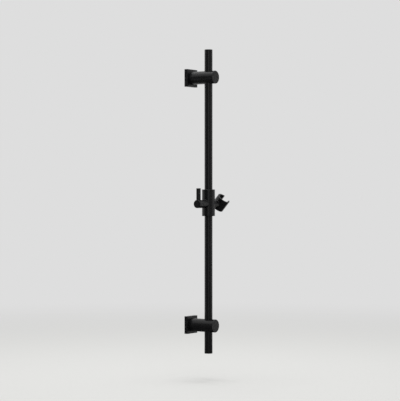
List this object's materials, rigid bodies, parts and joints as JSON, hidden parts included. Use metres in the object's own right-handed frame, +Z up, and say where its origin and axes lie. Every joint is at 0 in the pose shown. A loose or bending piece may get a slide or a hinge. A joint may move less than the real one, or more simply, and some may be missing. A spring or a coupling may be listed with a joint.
{
  "type": "shower slide rail",
  "caption": "Round wall rail held by posts on square plates, with a sliding, lockable sleeve that carries a tilting slotted cup for a shower handset.",
  "frame": {"origin": "on the wall plane, halfway between the two wall brackets, behind the middle of the rail", "axes": "+Z up along the rail, +Y into the wall, +X to the right of someone facing the wall"},
  "size_m": [0.116, 0.083, 0.76],
  "materials": {
    "black_coat": "satin black coating on metal",
    "bracket_metal": "plain zinc-plated metal",
    "screw_steel": "stainless steel",
    "spindle_brass": "turned brass",
    "black_plastic": "moulded acetal",
    "seal_rubber": "moulded rubber"
  },
  "bodies": {
    "wall_frame": {"rail_tube": "black_coat", "upper_end_cap": "black_coat", "lower_end_cap": "black_coat", "upper_wall_bracket": "bracket_metal", "lower_wall_bracket": "bracket_metal", "upper_cover_plate": "black_coat", "lower_cover_plate": "black_coat", "upper_post": "black_coat", "lower_post": "black_coat", "upper_plate_ring": "seal_rubber", "lower_plate_ring": "seal_rubber", "upper_peg_screw": "screw_steel", "lower_peg_screw": "screw_steel", "upper_rail_screw": "screw_steel", "lower_rail_screw": "screw_steel"},
    "guide_bushes": {"upper_guide_bush": "black_plastic", "lower_guide_bush": "black_plastic"},
    "slider": {"slider_sleeve": "black_coat", "swivel_screw": "screw_steel", "friction_washer": "black_plastic"},
    "brake": {"brake_shoe": "black_plastic"},
    "lever": {"lock_spindle": "spindle_brass", "lever_hub": "black_coat", "lever_rod": "black_coat"},
    "cup": {"handset_cup": "black_coat", "swivel_spring_washer": "screw_steel"}
  },
  "joints": [
    {"name": "slider_travel", "type": "slide", "parent": "wall_frame", "child": "guide_bushes", "axis": [0, 0, 1], "range_m": [-0.257, 0.252]},
    {"name": "slider_swivel", "type": "hinge", "parent": "guide_bushes", "child": "slider", "pos_m": [0, -0.058, -0.006], "axis": [0, 0, 1], "range_deg": [-90, 35]},
    {"name": "brake_travel", "type": "slide", "parent": "slider", "child": "brake", "axis": [1, 0, 0], "range_m": [0, 0.0003125]},
    {"name": "lever_turn", "type": "hinge", "parent": "brake", "child": "lever", "pos_m": [0, -0.058, -0.006], "axis": [1, 0, 0], "range_deg": [0, 90]},
    {"name": "cup_tilt", "type": "hinge", "parent": "slider", "child": "cup", "pos_m": [0, -0.058, -0.006], "axis": [1, 0, 0], "continuous": true}
  ],
  "couplings": [
    {"joint": "lever_turn", "follows": "brake_travel", "rad_per_m": 5026.5}
  ]
}
